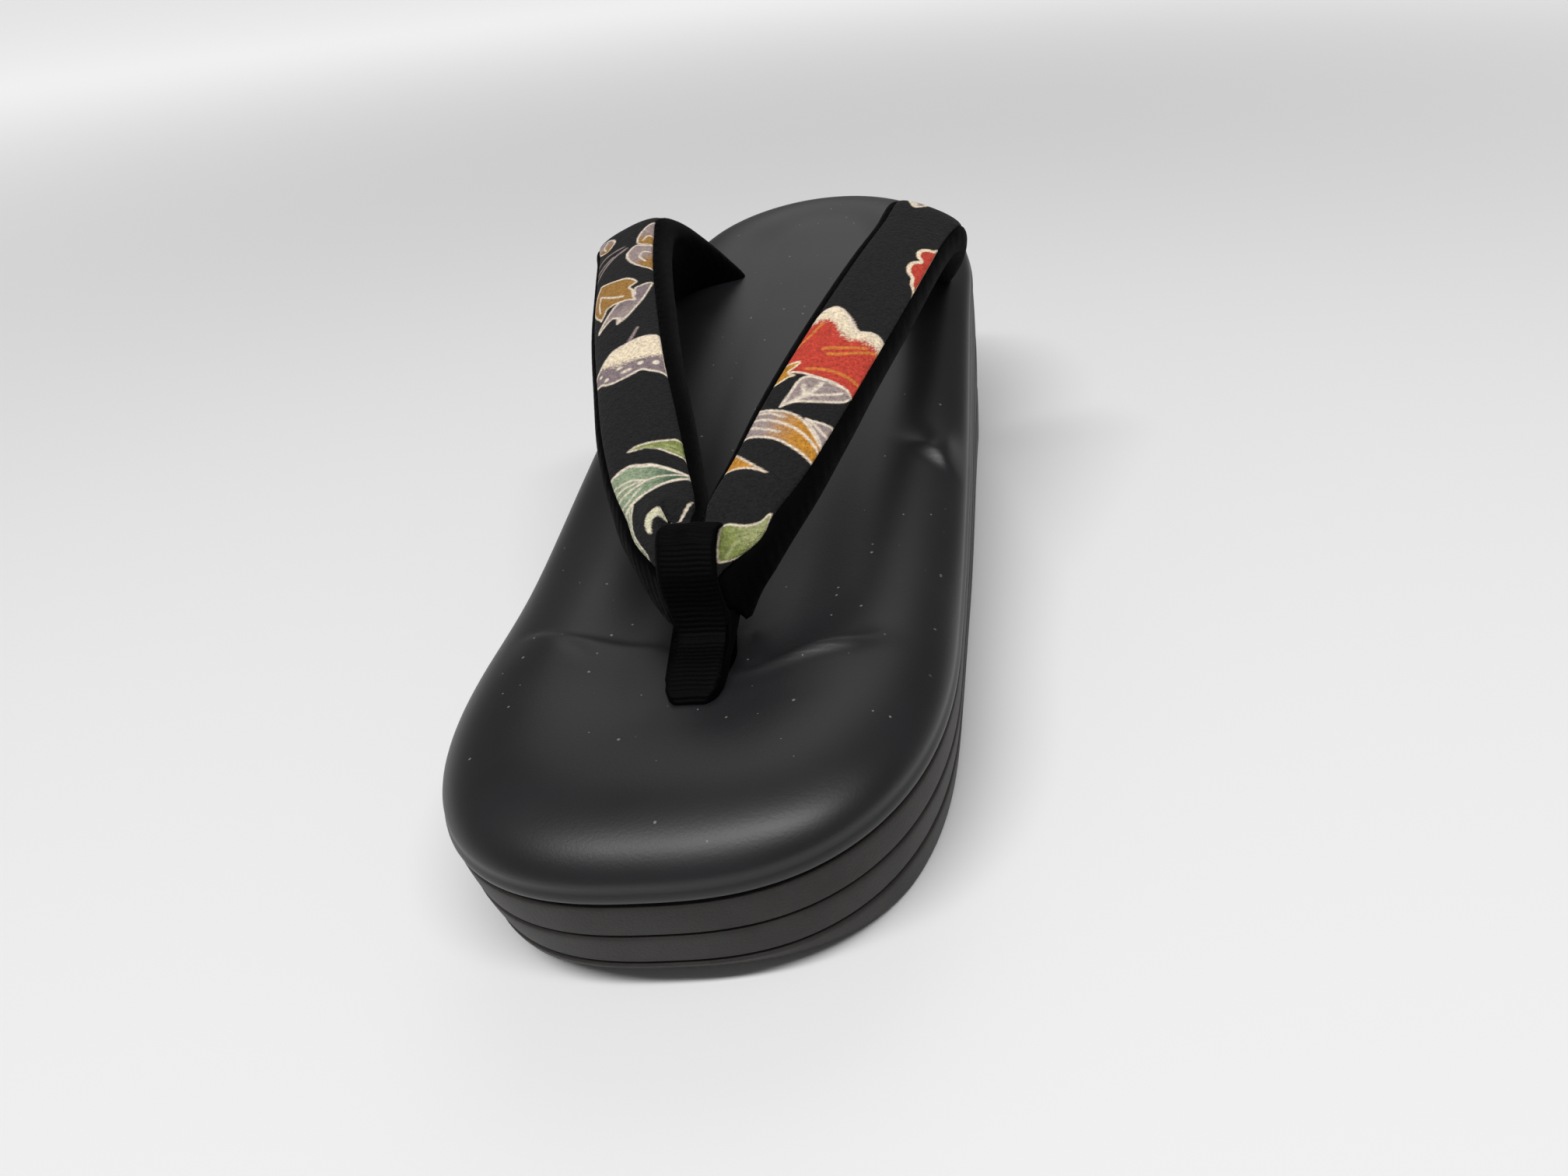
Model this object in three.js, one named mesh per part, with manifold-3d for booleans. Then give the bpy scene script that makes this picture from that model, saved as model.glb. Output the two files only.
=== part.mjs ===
// A zori sandal: a moulded foam cushion on three wedge layers, with a padded V strap held by a toe loop.
// Millimetres, +Z up, toe towards -Y, origin on the floor under the middle of the sole.
// Distances "from the toe" are measured back along +Y from the sole's front tip.
import * as THREE from 'three';
import { mergeVertices } from 'three/addons/utils/BufferGeometryUtils.js';
import Module from 'manifold-3d';

const wasm = await Module();
wasm.setup();

// Driving sizes of the sole
const soleLength = 240;
const ballHalfWidth = 41.2;
const heelHalfWidth = 39.8;
const narrowing = { from: 95, to: 190 };
const toeRounding = { length: 55.9, power: 2.59 };
const heelRounding = { length: 58.5, power: 2.05 };
const rimAtToe = 30.7;
const rimAtHeel = 56.8;
const rimRise = { from: 70, to: 210, ease: 12 };
const toeSpring = { height: 5.1, length: 21, power: 1.5 };

// Cushion and layers
const cushionEdge = 10.3;
const shoulder = { across: 15.3, down: 8.8 };
const cushionLip = 0.9;
const layerGap = 0.3;
const layerRounding = 0.7;
const layerInsets = { top: 0.2, upperSeam: 0.65, lowerSeam: 1.5, floor: 2.6 };
const dishRows = [
  { fromToe: 0, depth: 2.0 },
  { fromToe: 36, depth: 2.8 },
  { fromToe: 64, depth: 3.6 },
  { fromToe: 118, depth: 1.8 },
  { fromToe: 170, depth: 2.4 },
  { fromToe: 204, depth: 3.2 },
  { fromToe: 240, depth: 2.4 },
];

// Padded strap: where the printed face's two seams run on the right limb, and how thick the pad is there
const strapRows = [
  { inner: [-3.2, -68.4, 43.0], outer: [3.0, -73.4, 40.8], thick: 12.4 },
  { inner: [1.0, -60.1, 47.3], outer: [7.5, -67.0, 44.2], thick: 12.0 },
  { inner: [3.6, -49.4, 51.2], outer: [15.4, -55.4, 48.6], thick: 10.2 },
  { inner: [7.4, -37.4, 56.2], outer: [20.8, -42.4, 52.8], thick: 9.2 },
  { inner: [12.2, -23.4, 61.2], outer: [26.0, -25.6, 57.0], thick: 8.8 },
  { inner: [17.0, -7.0, 65.4], outer: [31.0, -8.0, 61.0], thick: 8.8 },
  { inner: [21.4, 9.0, 68.7], outer: [35.2, 9.6, 64.2], thick: 8.8 },
  { inner: [24.8, 23.5, 70.6], outer: [38.2, 22.5, 66.2], thick: 8.6 },
  { inner: [26.6, 33.8, 71.8], outer: [40.8, 31.6, 66.4], thick: 8.6 },
  { inner: [26.6, 43.2, 68.6], outer: [40.6, 38.6, 62.4], thick: 7.8 },
  { inner: [24.8, 51.8, 62.4], outer: [38.8, 46.4, 56.6], thick: 6.6 },
  { inner: [22.0, 58.0, 55.8], outer: [36.2, 52.6, 51.6], thick: 5.6 },
  { inner: [19.4, 61.4, 50.2], outer: [34.0, 56.2, 47.8], thick: 5.0 },
  { inner: [18.6, 62.2, 45.0], outer: [33.2, 57.0, 43.2], thick: 4.8 },
];
const seamShare = 0.82;
const padPower = 2.6;
const faceThickness = 0.8;
const faceGap = 0.3;
const strapSteps = 36;

// Toe loop: ribbed tape folded over the strap's fork, in outline along the sandal (y, z)
const loopWidth = 9.8;
const loopFrontRadius = 3.6;
const socketClearance = 0.35;
const loopOutline = [
  { y: -86.4, z: 22.0 },
  { y: -86.4, z: 28.0 },
  { y: -85.0, z: 30.8 },
  { y: -81.0, z: 32.8 },
  { y: -74.8, z: 34.2 },
  { y: -73.2, z: 35.8 },
  { y: -73.2, z: 43.6 },
  { y: -71.8, z: 46.4 },
  { y: -69.6, z: 49.2 },
  { y: -67.2, z: 50.3 },
  { y: -63.6, z: 49.7 },
  { y: -60.8, z: 47.8 },
  { y: -60.0, z: 45.0 },
  { y: -60.4, z: 37.4 },
  { y: -63.8, z: 33.2 },
  { y: -70.5, z: 30.4 },
  { y: -77.8, z: 29.0 },
  { y: -77.8, z: 22.0 },
];
const loopWindow = [
  { y: -71.9, z: 37.0 },
  { y: -71.9, z: 43.2 },
  { y: -70.6, z: 45.8 },
  { y: -68.8, z: 48.0 },
  { y: -67.0, z: 49.0 },
  { y: -64.0, z: 48.4 },
  { y: -61.9, z: 47.0 },
  { y: -61.3, z: 44.8 },
  { y: -61.6, z: 37.8 },
  { y: -64.2, z: 35.4 },
  { y: -69.6, z: 35.4 },
];
const forkRegion = { front: -100, back: -59.7, low: 10, high: 80 };

// Finishes
const finishes = {
  smoothFoam: { color: 0x26272a, roughness: 0.5, metalness: 0 },
  suedeFoam: { color: 0x2b2927, roughness: 0.85, metalness: 0 },
  velvet: { color: 0x0c0c0d, roughness: 0.95, metalness: 0 },
  crepe: { color: 0x241c1a, roughness: 0.8, metalness: 0 },
  grosgrain: { color: 0x0e0e0f, roughness: 0.85, metalness: 0 },
};

const fromToe = (y) => y + soleLength / 2;

// A value read from rows of { fromToe, depth }, eased between neighbouring rows
function depthAt(rows, distance) {
  const next = rows.findIndex((row) => row.fromToe >= distance);
  if (next <= 0) return rows[0].depth;
  const a = rows[next - 1];
  const b = rows[next];
  const share = THREE.MathUtils.smoothstep(distance, a.fromToe, b.fromToe);
  return THREE.MathUtils.lerp(a.depth, b.depth, share);
}

// Half width of the sole at a distance from the toe: straight body, rounded toe and heel
function soleHalfWidth(distance) {
  const roundEnd = (depth, { length, power }) =>
    depth < length ? Math.max(0, 1 - ((length - depth) / length) ** power) ** (1 / power) : 1;
  const body = THREE.MathUtils.lerp(
    ballHalfWidth,
    heelHalfWidth,
    THREE.MathUtils.smoothstep(distance, narrowing.from, narrowing.to),
  );
  return body * roundEnd(distance, toeRounding) * roundEnd(soleLength - distance, heelRounding);
}

// Height of the cushion's rim: flat at the toe, an even rise, flat at the heel, with eased bends between
function rimHeight(y) {
  const eased = (value) => (value + Math.sqrt(value ** 2 + rimRise.ease ** 2)) / 2;
  const climbed = eased(fromToe(y) - rimRise.from) - eased(fromToe(y) - rimRise.to);
  return rimAtToe + ((rimAtHeel - rimAtToe) * climbed) / (rimRise.to - rimRise.from);
}

// The cushion's under side, which is also the top of the stack of layers
const stackHeight = (y) => rimHeight(y) - cushionEdge;

function floorHeight(y) {
  const share = Math.max(0, 1 - fromToe(y) / toeSpring.length);
  return toeSpring.height * share ** toeSpring.power;
}

// Plan outline from the toe round the +X side to the heel and back, with its outward directions
const sidePoints = 40;
const ringSize = 2 * sidePoints;
const outline = Array.from({ length: ringSize }, (_, i) => {
  const step = i <= sidePoints ? i : ringSize - i;
  const distance = (soleLength / 2) * (1 - Math.cos((Math.PI * step) / sidePoints));
  const side = i <= sidePoints ? 1 : -1;
  return new THREE.Vector2(side * soleHalfWidth(distance), distance - soleLength / 2);
});
const outward = outline.map((_, i) => {
  const along = outline[(i + 1) % ringSize].clone().sub(outline[(i + ringSize - 1) % ringSize]);
  return new THREE.Vector2(along.y, -along.x).normalize();
});

// One ring of the sole: the outline moved in by an inset, at a height that follows y
function soleRing(inset, height) {
  return outline.map((point, i) => {
    const moved = point.clone().addScaledVector(outward[i], -inset);
    return new THREE.Vector3(moved.x, moved.y, height(moved.y));
  });
}

// Triangles of a stack of rings, counterclockwise seen from the stack's last ring
function ringWalls(rings) {
  const size = rings[0].length;
  const index = [];
  for (let r = 0; r < rings.length - 1; r++) {
    for (let i = 0; i < size; i++) {
      const j = (i + 1) % size;
      const a = r * size + i;
      const b = r * size + j;
      const c = (r + 1) * size + j;
      const d = (r + 1) * size + i;
      index.push(a, b, c, a, c, d);
    }
  }
  return index;
}

// A flat cap between the two sides of a ring that is its own mirror image
function ladderCap(start, size, upward) {
  const index = [];
  const half = size / 2;
  for (let i = 0; i < half; i++) {
    const a = start + i;
    const b = start + i + 1;
    const c = start + ((size - i - 1) % size);
    const d = start + ((size - i) % size);
    const quad = i === 0 ? [a, b, c] : i === half - 1 ? [a, b, d] : [a, b, c, a, c, d];
    index.push(...(upward ? quad : quad.reverse()));
  }
  return index;
}

// A cap that fans out from the middle of a ring, for small convex ends
function fanCap(start, size, middle, upward) {
  const index = [];
  for (let i = 0; i < size; i++) {
    const a = start + i;
    const b = start + ((i + 1) % size);
    index.push(...(upward ? [a, b, middle] : [b, a, middle]));
  }
  return index;
}

function solidFrom(points, index) {
  const geometry = new THREE.BufferGeometry();
  geometry.setAttribute('position', new THREE.BufferAttribute(new Float32Array(points.flatMap((p) => p.toArray())), 3));
  geometry.setIndex(index);
  return geometry;
}

function layeredSolid(rings) {
  const size = rings[0].length;
  const last = (rings.length - 1) * size;
  const index = [...ringWalls(rings), ...ladderCap(0, size, false), ...ladderCap(last, size, true)];
  return solidFrom(rings.flat(), index);
}

function tubeSolid(rings) {
  const size = rings[0].length;
  const points = rings.flat();
  const middle = (ring) => ring.reduce((sum, p) => sum.add(p), new THREE.Vector3()).divideScalar(size);
  points.push(middle(rings[0]), middle(rings.at(-1)));
  const last = (rings.length - 1) * size;
  const index = [
    ...ringWalls(rings),
    ...fanCap(0, size, points.length - 2, false),
    ...fanCap(last, size, points.length - 1, true),
  ];
  return solidFrom(points, index);
}

// Joins and cuts
function toManifold(geometry) {
  const bare = geometry.clone();
  bare.deleteAttribute('normal');
  bare.deleteAttribute('uv');
  const merged = mergeVertices(bare, 1e-4);
  return new wasm.Manifold(
    new wasm.Mesh({
      numProp: 3,
      vertProperties: Float32Array.from(merged.attributes.position.array),
      triVerts: Uint32Array.from(merged.index.array),
    }),
  );
}

function toGeometry(manifold) {
  const mesh = manifold.getMesh();
  const geometry = new THREE.BufferGeometry();
  const positions = new Float32Array(mesh.numVert * 3);
  for (let i = 0; i < mesh.numVert; i++) {
    for (let k = 0; k < 3; k++) positions[3 * i + k] = mesh.vertProperties[i * mesh.numProp + k];
  }
  geometry.setAttribute('position', new THREE.BufferAttribute(positions, 3));
  geometry.setIndex([...mesh.triVerts]);
  return geometry;
}

// Cushion: under side, lip, large round edge, then the dished top drawn in to a spine
function footbedSolid() {
  const under = (lift) => (y) => stackHeight(y) + layerGap + lift;
  const rings = [
    soleRing(cushionLip, under(0)),
    soleRing(cushionLip * 0.3, under(cushionLip * 0.3)),
    soleRing(0, under(cushionLip)),
  ];
  const shoulderSteps = 7;
  for (let k = 1; k <= shoulderSteps; k++) {
    const angle = (k / shoulderSteps) * (Math.PI / 2);
    const drop = shoulder.down * (1 - Math.sin(angle));
    rings.push(soleRing(shoulder.across * (1 - Math.cos(angle)), (y) => rimHeight(y) - drop));
  }
  const edge = rings.at(-1);
  const spineReach = soleLength / 2 - 40;
  const drawnIn = [0.07, 0.16, 0.27, 0.4, 0.55, 0.72, 0.9];
  for (const share of drawnIn) {
    rings.push(
      edge.map((point) => {
        const spine = new THREE.Vector3(0, THREE.MathUtils.clamp(point.y, -spineReach, spineReach), 0);
        const moved = point.clone().lerp(spine, share);
        const dish = depthAt(dishRows, fromToe(moved.y)) * THREE.MathUtils.smoothstep(share, 0, 0.55);
        return moved.setZ(rimHeight(moved.y) - dish);
      }),
    );
  }
  return layeredSolid(rings);
}

// A wedge layer between two shares of the stack's height
function wedgeLayer(low, high, lowInset, highInset) {
  const floor = (y) => (low === 0 ? floorHeight(y) : low * stackHeight(y));
  const roof = (y) => high * stackHeight(y) - layerGap;
  const edge = layerRounding;
  const flatTop = high === 1 ? 0 : edge;
  return layeredSolid([
    soleRing(lowInset + edge, floor),
    soleRing(lowInset, (y) => floor(y) + edge),
    soleRing(highInset, (y) => roof(y) - edge),
    soleRing(highInset + flatTop, roof),
  ]);
}

// The strap's course: curves through the two seams, and the pad's thickness along them
const seamCurve = (side) =>
  new THREE.CatmullRomCurve3(strapRows.map((row) => new THREE.Vector3(...row[side])), false, 'centripetal');
const innerSeam = seamCurve('inner');
const outerSeam = seamCurve('outer');

function strapStation(t) {
  const inner = innerSeam.getPoint(t);
  const outer = outerSeam.getPoint(t);
  const middle = inner.clone().add(outer).multiplyScalar(0.5);
  const across = outer.clone().sub(inner);
  const halfSeam = across.length() / 2;
  across.normalize();
  const along = innerSeam.getTangent(t).add(outerSeam.getTangent(t)).normalize();
  const up = across.clone().cross(along).normalize();
  const place = t * (strapRows.length - 1);
  const row = Math.min(Math.floor(place), strapRows.length - 2);
  const thick = THREE.MathUtils.lerp(strapRows[row].thick, strapRows[row + 1].thick, place - row);
  return { middle, across, up, halfSeam, thick };
}

// A point of the pad's rounded section; the angle is 0 at the outer edge and 90 degrees on top
const seamAngle = Math.acos(seamShare ** (padPower / 2));
function padPoint({ middle, across, up, halfSeam, thick }, angle, grow) {
  const rounded = (value) => Math.sign(value) * Math.abs(value) ** (2 / padPower);
  const halfWidth = halfSeam / seamShare;
  const seamLift = (thick / 2) * rounded(Math.sin(seamAngle));
  return middle
    .clone()
    .addScaledVector(across, (halfWidth + grow) * rounded(Math.cos(angle)))
    .addScaledVector(up, (thick / 2 + grow) * rounded(Math.sin(angle)) - seamLift);
}

const topAngles = Array.from({ length: 8 }, (_, i) => seamAngle + ((Math.PI - 2 * seamAngle) * i) / 7);
const lowAngles = Array.from(
  { length: 11 },
  (_, i) => Math.PI - seamAngle + ((Math.PI + 2 * seamAngle) * i) / 10,
);

// The limb's backing has a rebate for the face; its grown copy cuts the socket in the cushion
function limbRing(station, rebate, grow) {
  const top = topAngles.map((angle) => padPoint(station, angle, grow - rebate));
  const low = lowAngles.map((angle) => padPoint(station, angle, grow));
  return rebate > 0 ? [...top, ...low] : [...top, ...low.slice(1, -1)];
}

function limbSolid(rebate, grow, fromStep, toStep) {
  const rings = [];
  for (let k = toStep; k >= fromStep; k--) rings.push(limbRing(strapStation(k / strapSteps), rebate, grow));
  return tubeSolid(rings);
}

// The printed face fills the rebate, with a gap to the backing on every side
function faceSolid() {
  const rings = [];
  const shrink = 0.05;
  for (let k = strapSteps; k >= 0; k--) {
    const station = strapStation(k / strapSteps);
    const angles = topAngles.map((angle) => THREE.MathUtils.lerp(angle, Math.PI / 2, shrink));
    const outside = angles.map((angle) => padPoint(station, angle, 0));
    const inside = angles.map((angle) => padPoint(station, angle, -faceThickness)).reverse();
    rings.push([...outside, ...inside]);
  }
  const { front, back, low, high } = forkRegion;
  const clearing = acrossSolid(forkOutline(front, back, low, high), loopWidth / 2 + faceGap);
  return toGeometry(toManifold(tubeSolid(rings)).subtract(toManifold(clearing)));
}

function forkOutline(front, back, low, high) {
  return [
    { y: front, z: low },
    { y: back, z: low },
    { y: back, z: high },
    { y: front, z: high },
  ];
}

function mirrored(geometry) {
  const copy = geometry.clone().scale(-1, 1, 1);
  const order = [...copy.index.array];
  for (let i = 0; i < order.length; i += 3) [order[i], order[i + 1]] = [order[i + 1], order[i]];
  copy.setIndex(order);
  return copy;
}

// An outline along the sandal, made solid across it
function acrossSolid(rows, halfWidth, windowRows) {
  const points = rows.map(({ y, z }) => new THREE.Vector2(y, z));
  if (THREE.ShapeUtils.isClockWise(points)) points.reverse();
  const shape = new THREE.Shape(points);
  if (windowRows) shape.holes.push(new THREE.Path(windowRows.map(({ y, z }) => new THREE.Vector2(y, z))));
  const geometry = new THREE.ExtrudeGeometry(shape, { depth: 2 * halfWidth, bevelEnabled: false });
  const toSandal = new THREE.Matrix4().makeBasis(
    new THREE.Vector3(0, 1, 0),
    new THREE.Vector3(0, 0, 1),
    new THREE.Vector3(1, 0, 0),
  );
  return geometry.applyMatrix4(toSandal).translate(-halfWidth, 0, 0);
}

// The loop seen from above: straight sides and a round front
function loopPlan(front, back, halfWidth, frontRadius, low, high) {
  const plan = new THREE.Shape();
  plan.moveTo(halfWidth, back);
  plan.lineTo(-halfWidth, back);
  plan.lineTo(-halfWidth, front + frontRadius);
  plan.absarc(-halfWidth + frontRadius, front + frontRadius, frontRadius, Math.PI, 1.5 * Math.PI, false);
  plan.absarc(halfWidth - frontRadius, front + frontRadius, frontRadius, 1.5 * Math.PI, 2 * Math.PI, false);
  plan.closePath();
  const geometry = new THREE.ExtrudeGeometry(plan, { depth: high - low, bevelEnabled: false, curveSegments: 6 });
  return geometry.translate(0, 0, low);
}

const loopFront = Math.min(...loopOutline.map((row) => row.y));
const loopBack = Math.max(...loopOutline.map((row) => row.y));
const postBack = loopOutline.at(-1).y;
const postFoot = loopOutline[0].z;

function toeLoopSolid() {
  const tape = toManifold(acrossSolid(loopOutline, loopWidth / 2, loopWindow));
  const plan = toManifold(
    loopPlan(loopFront, loopBack + 1, loopWidth / 2, loopFrontRadius, forkRegion.low, forkRegion.high),
  );
  return toGeometry(tape.intersect(plan));
}

// Both limbs are joined at the fork, and inside the loop only what fits its window is left
function strapBackingSolid() {
  const limb = limbSolid(faceThickness + faceGap, 0, 0, strapSteps);
  const both = toManifold(limb).add(toManifold(mirrored(limb)));
  const { front, back, low, high } = forkRegion;
  const core = shrunk(loopWindow, layerGap);
  const region = forkOutline(front, back, low, high);
  const clearing = toManifold(acrossSolid(region, loopWidth / 2 + layerGap, core));
  return toGeometry(both.subtract(clearing));
}

// An outline drawn in towards its own middle by about the given amount
function shrunk(rows, amount) {
  const middleY = rows.reduce((sum, row) => sum + row.y, 0) / rows.length;
  const middleZ = rows.reduce((sum, row) => sum + row.z, 0) / rows.length;
  return rows.map(({ y, z }) => {
    const reach = Math.hypot(y - middleY, z - middleZ);
    const share = (reach - amount * 1.3) / reach;
    return { y: middleY + (y - middleY) * share, z: middleZ + (z - middleZ) * share };
  });
}

// Sockets: one for the loop's post, and one for each rear end of the strap
function socketedFootbed() {
  const post = loopPlan(
    loopFront - socketClearance,
    postBack + socketClearance,
    loopWidth / 2 + socketClearance,
    loopFrontRadius + socketClearance,
    postFoot - socketClearance,
    rimAtToe + 10,
  );
  const limbEnd = limbSolid(0, socketClearance, strapSteps - 8, strapSteps);
  const socket = limbEnd.clone().translate(0, 0, -socketClearance);
  return toGeometry(
    toManifold(footbedSolid())
      .subtract(toManifold(post))
      .subtract(toManifold(socket).add(toManifold(limbEnd)))
      .subtract(toManifold(mirrored(socket)).add(toManifold(mirrored(limbEnd)))),
  );
}

const sandal = new THREE.Group();
function addPiece(name, geometry, finish) {
  const mesh = new THREE.Mesh(geometry, new THREE.MeshStandardMaterial(finishes[finish]));
  mesh.name = name;
  sandal.add(mesh);
}

const third = 1 / 3;
const { top, upperSeam, lowerSeam, floor } = layerInsets;
addPiece('outsole', wedgeLayer(0, third, floor, lowerSeam), 'suedeFoam');
addPiece('midsole_lower', wedgeLayer(third, 2 * third, lowerSeam, upperSeam), 'suedeFoam');
addPiece('midsole_upper', wedgeLayer(2 * third, 1, upperSeam, top), 'suedeFoam');
addPiece('footbed', socketedFootbed(), 'smoothFoam');
addPiece('strap_backing', strapBackingSolid(), 'velvet');
addPiece('strap_face_right', faceSolid(), 'crepe');
addPiece('strap_face_left', mirrored(faceSolid()), 'crepe');
addPiece('toe_loop', toeLoopSolid(), 'grosgrain');

export default sandal;
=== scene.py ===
import math

import bmesh
import bpy
import numpy as np
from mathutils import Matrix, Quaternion, Vector


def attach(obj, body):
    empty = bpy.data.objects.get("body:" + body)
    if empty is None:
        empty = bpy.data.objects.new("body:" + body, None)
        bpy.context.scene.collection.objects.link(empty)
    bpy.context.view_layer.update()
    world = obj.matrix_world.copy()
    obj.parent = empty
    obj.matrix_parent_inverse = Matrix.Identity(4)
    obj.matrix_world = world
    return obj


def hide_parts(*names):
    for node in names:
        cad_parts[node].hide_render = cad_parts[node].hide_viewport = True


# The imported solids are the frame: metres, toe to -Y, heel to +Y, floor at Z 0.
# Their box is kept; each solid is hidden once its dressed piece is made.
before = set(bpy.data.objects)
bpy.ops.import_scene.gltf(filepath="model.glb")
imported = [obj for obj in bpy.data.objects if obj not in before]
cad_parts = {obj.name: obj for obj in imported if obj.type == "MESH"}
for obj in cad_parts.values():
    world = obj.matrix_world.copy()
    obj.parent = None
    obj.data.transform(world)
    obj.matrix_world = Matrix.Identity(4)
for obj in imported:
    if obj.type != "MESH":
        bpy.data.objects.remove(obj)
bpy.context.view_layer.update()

# Camera: a wide lens held over the toe, looking back and down along the sandal, rolled a little.
# The shift only brings the sandal towards the middle of the picture.
VIEW_FROM = (0.0598, -0.2178, 0.1321)
VIEW_ALONG = (-0.0461, 0.8055, -0.5909)
VIEW_ROLL = -4.86
lens = bpy.data.cameras.new("lens_over_toe")
lens.sensor_width = 36.0
lens.lens = 25.0
lens.shift_x = -0.15
lens.shift_y = 0.04
lens.clip_start = 0.01
camera = bpy.data.objects.new("camera_over_toe", lens)
camera.location = VIEW_FROM
camera.rotation_mode = "QUATERNION"
aim = Vector(VIEW_ALONG).to_track_quat("-Z", "Y")
camera.rotation_quaternion = aim @ Quaternion((0.0, 0.0, 1.0), math.radians(VIEW_ROLL))
bpy.context.scene.collection.objects.link(camera)
bpy.context.scene.camera = camera

# Outsole: the lowest of three foam wedges, die-cut, sueded on its side and glued under the others.
# Its side leans in towards the floor, and its toe springs up. Sizes here are in millimetres.
SOLE_LENGTH = 240.0
HALF_LENGTH = SOLE_LENGTH / 2
HALF_WIDTH = 41.2
HEEL_NARROWER = 1.4
TOE_ROUND = 55.9
TOE_POWER = 2.59
HEEL_ROUND = 58.5
HEEL_POWER = 2.05
RIM_AT_TOE = 30.7
RIM_RISE = 26.1
RISE_FROM = 70.0
RISE_TO = 210.0
RISE_SOFT = 12.0
CUSHION_HEIGHT = 10.3
TOE_SPRING = 5.1
SPRING_LENGTH = 21.0
LAYER_GAP = 0.3
EDGE_ROUND = ((0.0, 0.75), (0.1, 0.3), (0.3, 0.07), (0.55, 0.0))
EDGE_HEIGHT = EDGE_ROUND[-1][0]
SIDE_BULGE = 0.08
RING_POINTS = 600
SPINE_HALF = 80.0
CLOSING_RINGS = 6


def eased(value, start, end):
    share = np.clip((value - start) / (end - start), 0.0, 1.0)
    return share * share * (3.0 - 2.0 * share)


def sole_half_width(from_toe):
    body = HALF_WIDTH - HEEL_NARROWER * eased(from_toe, 95.0, 190.0)
    toe = np.clip((TOE_ROUND - from_toe) / TOE_ROUND, 0.0, 1.0)
    heel = np.clip((HEEL_ROUND - (SOLE_LENGTH - from_toe)) / HEEL_ROUND, 0.0, 1.0)
    return body * (1.0 - toe**TOE_POWER) ** (1 / TOE_POWER) * (1.0 - heel**HEEL_POWER) ** (1 / HEEL_POWER)


def even_outline():
    angle = np.linspace(0.0, math.pi, 4001)
    from_toe = HALF_LENGTH * (1.0 - np.cos(angle))
    x, y = sole_half_width(from_toe), from_toe - HALF_LENGTH
    run = np.concatenate([[0.0], np.cumsum(np.hypot(np.diff(x), np.diff(y)))])
    even = np.linspace(0.0, run[-1], RING_POINTS // 2 + 1)
    side = np.column_stack([np.interp(even, run, x), np.interp(even, run, y)])
    return np.vstack([side, side[-2:0:-1] * (-1.0, 1.0)])


outline = even_outline()
run_along = np.roll(outline, -1, axis=0) - np.roll(outline, 1, axis=0)
outward = np.column_stack([run_along[:, 1], -run_along[:, 0]])
outward /= np.linalg.norm(outward, axis=1)[:, None]


def rim_height(y):
    def ramp(value):
        return (value + np.sqrt(value**2 + RISE_SOFT**2)) / 2

    climbed = ramp(y + HALF_LENGTH - RISE_FROM) - ramp(y + HALF_LENGTH - RISE_TO)
    return RIM_AT_TOE + RIM_RISE * climbed / (RISE_TO - RISE_FROM)


def stack_height(y):
    return rim_height(y) - CUSHION_HEIGHT


def floor_height(y):
    return TOE_SPRING * np.clip(1.0 - (y + HALF_LENGTH) / SPRING_LENGTH, 0.0, 1.0) ** 1.5


def ring_at(inset, height):
    flat = outline - outward * inset
    return np.column_stack([flat, height(flat[:, 1])])


def start_ring(bm, points):
    place = bm.verts.layers.int.new("place")
    for number, vert in enumerate(bmesh.ops.create_circle(bm, segments=len(points), radius=1.0)["verts"]):
        vert[place] = number
        vert.co = points[number]
    return list(bm.edges)


def grow_ring(bm, edges, points):
    place = bm.verts.layers.int["place"]
    grown = bmesh.ops.extrude_edge_only(bm, edges=edges)["geom"]
    fresh = {item for item in grown if isinstance(item, bmesh.types.BMVert)}
    for vert in fresh:
        vert.co = points[vert[place]]
    return [item for item in grown if isinstance(item, bmesh.types.BMEdge) and set(item.verts) <= fresh]


# A flat end closes on a line along the middle of the sole, where its two sides meet.
def spine_under(ring):
    return np.column_stack([np.zeros(RING_POINTS), np.clip(ring[:, 1], -SPINE_HALF, SPINE_HALF)])


def close_on_spine(bm, edges, ring, height):
    spine = spine_under(ring)
    for step in range(1, CLOSING_RINGS + 1):
        flat = ring[:, :2] + (spine - ring[:, :2]) * step / CLOSING_RINGS
        edges = grow_ring(bm, edges, np.column_stack([flat, height(flat[:, 1])]))


def wedge_layer(floor, roof, low_inset, high_inset):
    profile = [("floor", lift, low_inset + inset) for lift, inset in EDGE_ROUND]
    for share in (0.2, 0.4, 0.6, 0.8):
        bulge = SIDE_BULGE * 4 * share * (1 - share)
        profile.append((share, 0.0, low_inset + (high_inset - low_inset) * share - bulge))
    profile += [("roof", lift, high_inset + inset) for lift, inset in reversed(EDGE_ROUND)]

    def level(mark, lift):
        def height(y):
            low, high = floor(y), roof(y)
            fit = np.minimum(1.0, (high - low) / 2.0)
            if mark == "floor":
                return low + fit * lift
            if mark == "roof":
                return high - fit * lift
            return low + EDGE_HEIGHT * fit + (high - low - 2 * EDGE_HEIGHT * fit) * mark

        return height

    bm = bmesh.new()
    first = ring_at(profile[0][2], level(*profile[0][:2]))
    lowest = start_ring(bm, first)
    edges = lowest
    for mark, lift, inset in profile[1:]:
        last = ring_at(inset, level(mark, lift))
        edges = grow_ring(bm, edges, last)
    close_on_spine(bm, edges, last, roof)
    close_on_spine(bm, lowest, first, floor)
    return bm


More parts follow.
